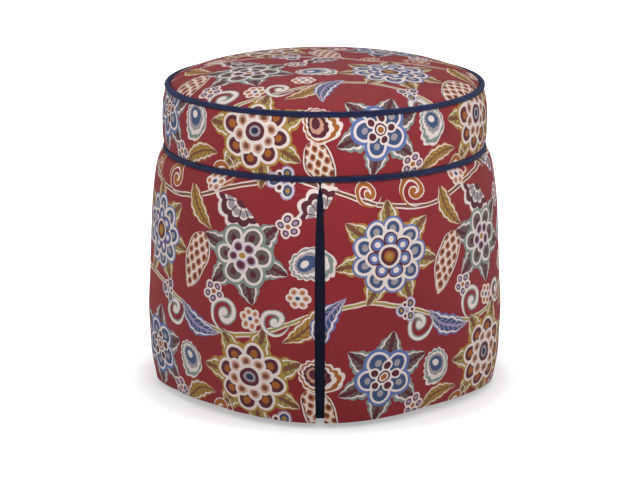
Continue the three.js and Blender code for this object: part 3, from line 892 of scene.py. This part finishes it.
navy = navy_finish("navy_cloth", "151738", "1c2048", 0.32)
seat_flange, flange_foot = seat_ring - cord, seat_line - 0.014
piping("seat_cord", "top_piping", seat_ring, seat_line,
       [(seat_flange, flange_foot), (seat_flange + 0.0011, flange_foot)], [])
waist_ring, waist_line = 0.2250, 0.3436
piping("waist_cord", "lower_piping", waist_ring, waist_line,
       [(0.2173, 0.330), (0.2181, 0.330), (0.2181, 0.3401), (0.2215, 0.3402)],
       [(0.2205, 0.3413), (0.2176, 0.3410)])

# Skirt: four panels of the printed cloth, each folded back 42 mm at both edges, so that two panels
# meet at a kick pleat at the front, at the back and at each side. They hang from the tack strip
# under the lower cord, over a slight belly, to just above the floor.

pleats = 4
span = math.tau / pleats
hem_height, hem_lift = 0.008, 0.004
skirt_top = waist_line - cord - 0.0001
skirt_drop = skirt_top - hem_height
# the radius at the top edge, and how much further out the belly hangs at the pleats
top_reach, belly_reach = 0.2262, 0.0263
# how far the face stands back between the pleats, at the top and at the hem
pleat_stack, hem_flatness = 0.0018, 0.014
# the returns end a little below the top edge
return_top = 0.99
skirt_cloth, layer_gap = 0.0018, 0.0006
# a fold turns round this radius, and takes up this much cloth
fold_radius, fold_cloth = (skirt_cloth + layer_gap) / 2, 0.004
pleat_gap = 0.0138
pleat_return = 0.042
skirt_shares = [
    # height from hem to top, reach between top edge and belly
    (0, 0.658), (0.1, 0.876), (0.2, 0.955), (0.32, 1), (0.46, 0.906), (0.64, 0.802), (0.78, 0.707),
    (0.85, 0.616), (0.92, 0.494), (0.947, 0.42), (0.965, 0.36), (0.975, 0.323), (0.984, 0.255),
    (0.992, 0.175), (1, 0),
]
pleat_shares = [
    # height from hem to top, opening of the pleat
    (0, 0.82), (0.06, 0.88), (0.14, 0.97), (0.22, 1), (0.6, 1), (0.73, 0.93), (0.8, 0.83),
    (0.866, 0.69), (0.933, 0.58), (0.983, 0.2), (1, 0.08),
]


def between(first, second, share):
    return first + (second - first) * share


def eased(shares, share):
    """A smooth line through a table of shares."""
    last = len(shares) - 1
    above = next((index for index in range(1, last + 1) if shares[index][0] >= share), last)
    spots = [shares[max(min(above + step, last), 0)] for step in (-2, -1, 0, 1)]
    width = spots[2][0] - spots[1][0]
    local = (share - spots[1][0]) / width

    def slope(before, after):
        run = after[0] - before[0]
        return (after[1] - before[1]) / run * width if run else 0

    start, end = slope(spots[0], spots[2]), slope(spots[1], spots[3])
    square, cube = local ** 2, local ** 3
    return (
        spots[1][1] * (2 * cube - 3 * square + 1) + start * (cube - 2 * square + local)
        + spots[2][1] * (3 * square - 2 * cube) + end * (cube - square)
    )


def off_pleat(angle):
    """0 at a pleat and 1 halfway between two."""
    return (1 - math.cos(pleats * angle)) / 2


def skirt_height(angle, share):
    return between(hem_height + hem_lift * off_pleat(angle), skirt_top, share)


def skirt_radius(angle, share):
    at_pleat = top_reach + belly_reach * eased(skirt_shares, share)
    return at_pleat - off_pleat(angle) * between(pleat_stack, hem_flatness, (1 - share) ** 1.2)


def layer_place(angle, share, depth):
    """Radius and height of a layer behind the face, its depth taken square to the face's slope."""
    low, high = max(share - 0.002, 0), min(share + 0.002, 1)
    rise = (high - low) * skirt_drop
    run = skirt_radius(angle, high) - skirt_radius(angle, low)
    length = math.hypot(rise, run)
    radius = skirt_radius(angle, share) - depth * rise / length
    return radius, skirt_height(angle, share) + depth * run / length


def ripple(angle, share, seed):
    """Slow waves in the hanging cloth, stronger towards the hem and gone at the top."""
    loose = (1 - share) ** 1.3 * min(1, off_pleat(angle) * 6 + 0.15)
    spot = Vector((angle * 3.4, share * 1.1, seed))
    return loose * (0.0034 * noise.noise(spot) + 0.0012 * noise.noise(spot * 2.7))


def hang(name, turn, columns, rows, place_of, map_of):
    """A grid of cloth, hung by the angle, radius and height of each column and height share."""
    piece = start_piece(name, bpy.ops.mesh.primitive_grid_add, size=1,
                        x_subdivisions=len(columns) - 1, y_subdivisions=len(rows) - 1)
    places = []
    for vertex in piece.data.vertices:
        row, column = divmod(vertex.index, len(columns))
        angle, radius, height = place_of(columns[column], rows[row])
        vertex.co = around(angle + turn, radius, height)
        places.append(map_of(columns[column], rows[row]))
    layer = piece.data.uv_layers.new(name="cloth")
    for loop in piece.data.loops:
        layer.data[loop.index].uv = places[loop.vertex_index]
    return piece


def rows_to_top(count):
    """Even rows up the cloth, and closer ones where it turns in under the cord."""
    return [row / count for row in range(count)] + [1 - 0.5 / count, 1 - 0.2 / count, 1]


def steps_of(part, first, last, steps):
    """The columns of one part of a panel, each with its share of the way along the part."""
    way = 1 if last > first else -1
    return [(part, step / steps) for step in range(first, last + way, way)]


panel_columns = (
    steps_of("return", 5, 1, 5) + steps_of("fold", 0, 7, 8) + steps_of("face", 0, 64, 64)
    + steps_of("far fold", 7, 0, 8) + steps_of("far return", 1, 5, 5)
)


def panel_place(column, share, seed):
    """Where a point of the panel hangs, its angle measured from the pleat before it."""
    part, along = column
    # how far the point has gone round the fold, from 0 on the face to 1 on the return
    behind = 0 if part == "face" else (1 + math.cos(along * math.pi)) / 2
    if part.endswith("return"):
        behind = 1
    share *= between(1, return_top, behind)
    opening = pleat_gap / 2 * eased(pleat_shares, share) + fold_radius + skirt_cloth / 2
    near_radius = skirt_radius(0, share) - skirt_cloth / 2
    fold_angle = opening / near_radius
    if part.endswith("return"):
        angle = between(fold_angle, fold_angle + pleat_return / near_radius, along)
    elif part.endswith("fold"):
        angle = fold_angle - fold_radius * math.sin(along * math.pi) / near_radius
    else:
        angle = between(fold_angle, span - fold_angle, along)
    if part.startswith("far"):
        angle = span - angle
    radius, height = layer_place(angle, share, skirt_cloth / 2 + 2 * fold_radius * behind)
    if part == "face":
        radius += ripple(angle, share, seed)
    return angle, radius, height


def panel_map(column, share, turn):
    part, along = column
    edge = (pleat_gap / 2) / top_reach
    if part.endswith("return"):
        across = edge * wrap_radius - fold_cloth - pleat_return * along
    elif part.endswith("fold"):
        across = edge * wrap_radius - fold_cloth * (1 - along)
    else:
        across = between(edge, span - edge, along) * wrap_radius
    if part.startswith("far"):
        across = span * wrap_radius - across
    return across + turn * wrap_radius, between(hem_height, skirt_top, share)


def round_edges(piece, width):
    edges = piece.modifiers.new("Edges", "BEVEL")
    edges.width = width
    edges.segments = 2
    edges.angle_limit = math.radians(60)


quarters = [(number, (number - 1) * span) for number in range(1, 5)]
for number, turn in quarters:
    panel = hang(
        f"skirt_face_{number}", turn, panel_columns, rows_to_top(64),
        lambda column, share: panel_place(column, share, number * 5.0),
        lambda column, share: panel_map(column, share, turn),
    )
    thicken(panel, skirt_cloth, 0)
    round_edges(panel, 0.0006)
    make_up(panel)
    finish_piece(panel, printed, "print_cloth", f"skirt_panel_{number}")

# Pleat inserts: a strip of the navy cloth hangs behind each pleat, set back from the panels' faces
# and sewn in with them at the top.

insert_cloth, insert_half, insert_drop = 0.0012, 0.052, 0.330
setback_top, setback_hem = 0.0054, 0.009
on_tack_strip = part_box("tack_strip")[1].x + insert_cloth / 2 + 0.0002
# the inserts are the pipings' navy cloth, painted darker and with less sheen as shade in the pleats
shaded_insert_navy = navy_finish("insert_navy_painted_shade", "15172d", "1a1d36", 0.1)


def insert_place(side, share, seed):
    below = min(share, return_top)
    radius, height = layer_place(0, below, between(setback_hem, setback_top, share))
    # above the returns the strip leans in to lie on the tack strip
    lean = (share - below) / (1 - return_top)
    radius = between(radius, on_tack_strip, lean)
    height = between(height + 0.003 * (1 - share), skirt_top, lean)
    angle = side * insert_half / radius
    radius += 0.0009 * (1 - share) * noise.noise(Vector((side * 2.2, share * 3, seed)))
    return angle, radius, height


for number, turn in quarters:
    insert = hang(
        f"pleat_back_{number}", turn, [side / 12 for side in range(-12, 13)], rows_to_top(48),
        lambda side, share: insert_place(side, share, number * 3.1),
        lambda side, share: (side * insert_half, share * skirt_top),
    )
    thicken(insert, insert_cloth, 0)
    round_edges(insert, 0.0004)
    make_up(insert)
    finish_piece(insert, shaded_insert_navy, "navy_cloth", f"pleat_insert_{number}")

# Linings: a panel of off-white cotton hangs behind each face of the skirt, between its two returns,
# from the heading to 14 mm above the hem.

lining_cloth, lining_clearance = 0.0008, 0.0008
lining_low = 0.014
lining_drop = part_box("skirt_lining_1")[1].z - hem_height
lining_edge = (pleat_gap / 2 + 2 * skirt_cloth + layer_gap + pleat_return + layer_gap) / top_reach
lining_columns, lining_rows = [step / 40 for step in range(41)], [row / 36 for row in range(37)]
lining_cotton = woven_finish(
    "lining_cotton", 0.88, 0.2, pitch=0.0008, depth=0.00015, shadow=0.2, stretch=(1, 1, 1),
    scale=30, stops=[(0.3, "cbc3b2"), (0.7, "dad3c4")],
)


def lining_place(along, row, seed):
    angle = between(lining_edge, span - lining_edge, along)
    share = between(lining_low / skirt_drop, lining_drop / skirt_drop, row)
    behind = skirt_cloth + lining_clearance + lining_cloth / 2
    radius = skirt_radius(angle, share) - behind + ripple(angle, share, seed)
    return angle, radius, skirt_height(angle, share)


for number, turn in quarters:
    lining = hang(
        f"lining_{number}", turn, lining_columns, lining_rows,
        lambda along, row: lining_place(along, row, number * 5.0),
        lambda along, row: (along * 0.3, row * 0.3),
    )
    thicken(lining, lining_cloth, 0)
    make_up(lining)
    finish_piece(lining, lining_cotton, "lining_cloth", f"skirt_lining_{number}")

# Studio: a pale seamless floor, whose white glow is dimmed round the tuffet as a painted shadow,
# and an even white surround. One broad light hangs over the seat, one stands in front with a small
# close one for the cushion's front, and one at each side brightens the pipings' ends.


def seen_by_eye(tree):
    """1 for what the camera sees, straight or in a reflection or through glass, and 0 for light."""
    rays = add("ShaderNodeLightPath", {}, tree).outputs
    seen = calc("MAXIMUM", rays["Is Camera Ray"], rays["Is Glossy Ray"])
    return calc("MAXIMUM", seen, rays["Is Transmission Ray"])


def floor_finish():
    """A pale floor, white to the eye, with a painted shadow round the tuffet over its real one."""
    pale = {"Base Color": (0.78, 0.78, 0.78, 1)}
    finish, tree, shader = new_finish("studio_floor", 1.0, 0.0, pale)
    away = length_of(object_place(tree))
    # the glow falls to 0.38 within 0.258 m of the middle and is full beyond 0.345 m: a painted
    # shadow
    painted_shadow_fade = {"Value": away, "From Min": 0.258, "From Max": 0.345, "To Min": 0.38}
    white = add("ShaderNodeMapRange", painted_shadow_fade).outputs[0]
    glow = add("ShaderNodeEmission", {"Strength": times(seen_by_eye(tree), white)})
    both = add("ShaderNodeAddShader", {0: shader.outputs[0], 1: glow.outputs[0]})
    tree.links.new(both.outputs[0], tree.nodes["Material Output"].inputs[0])
    return finish


floor = start_piece("studio_floor", bpy.ops.mesh.primitive_plane_add, size=30)
floor.data.materials.append(floor_finish())

surround_level = 0.5
world = bpy.data.worlds.new("studio")
bpy.context.scene.world = world
world.use_nodes = True
surround = world.node_tree.nodes["Background"]
surround.inputs[0].default_value = (1, 1, 1, 1)
level = plus(times(seen_by_eye(world.node_tree), 1 - surround_level), surround_level)
world.node_tree.links.new(level, surround.inputs[1])


def lamp(name, place, size, watts, aim=0.25, spread=180):
    bpy.ops.object.light_add(type="AREA", location=place)
    made = bpy.context.object
    made.name = name
    made.data.shape = "DISK"
    made.data.size = size
    made.data.energy = watts
    made.data.spread = math.radians(spread)
    made.visible_camera = False
    made.rotation_euler = (Vector((0, 0, aim)) - made.location).to_track_quat("-Z", "Y").to_euler()


lamp("overhead", (0.1, -0.2, 2.4), size=1.8, watts=10.2)
lamp("front", (0.3, -1.5, 1.2), size=0.9, watts=3.2)
lamp("seat_front", (0.08, -0.85, 0.58), size=0.4, watts=0.45, aim=0.42, spread=70)
lamp("left_side", (-2.2, -0.4, 1.0), size=1.2, watts=9)
lamp("right_side", (2.2, -0.4, 1.0), size=1.2, watts=9)

# the pleat stands a little left of the middle, so the camera stands a little to the right
camera_aside, camera_dip = 1.5, 14.364
camera_distance, camera_height = 3.63675, 1.1344
bpy.ops.object.camera_add(
    location=around(math.radians(camera_aside), camera_distance, camera_height),
    rotation=(math.radians(90 - camera_dip), 0, math.radians(camera_aside)),
)
camera = bpy.context.object
camera.data.sensor_width = 36
camera.data.lens = 147.67
camera.data.shift_x = -0.0074
camera.data.clip_end = 60
bpy.context.scene.camera = camera
bpy.context.scene.view_settings.view_transform = "Standard"
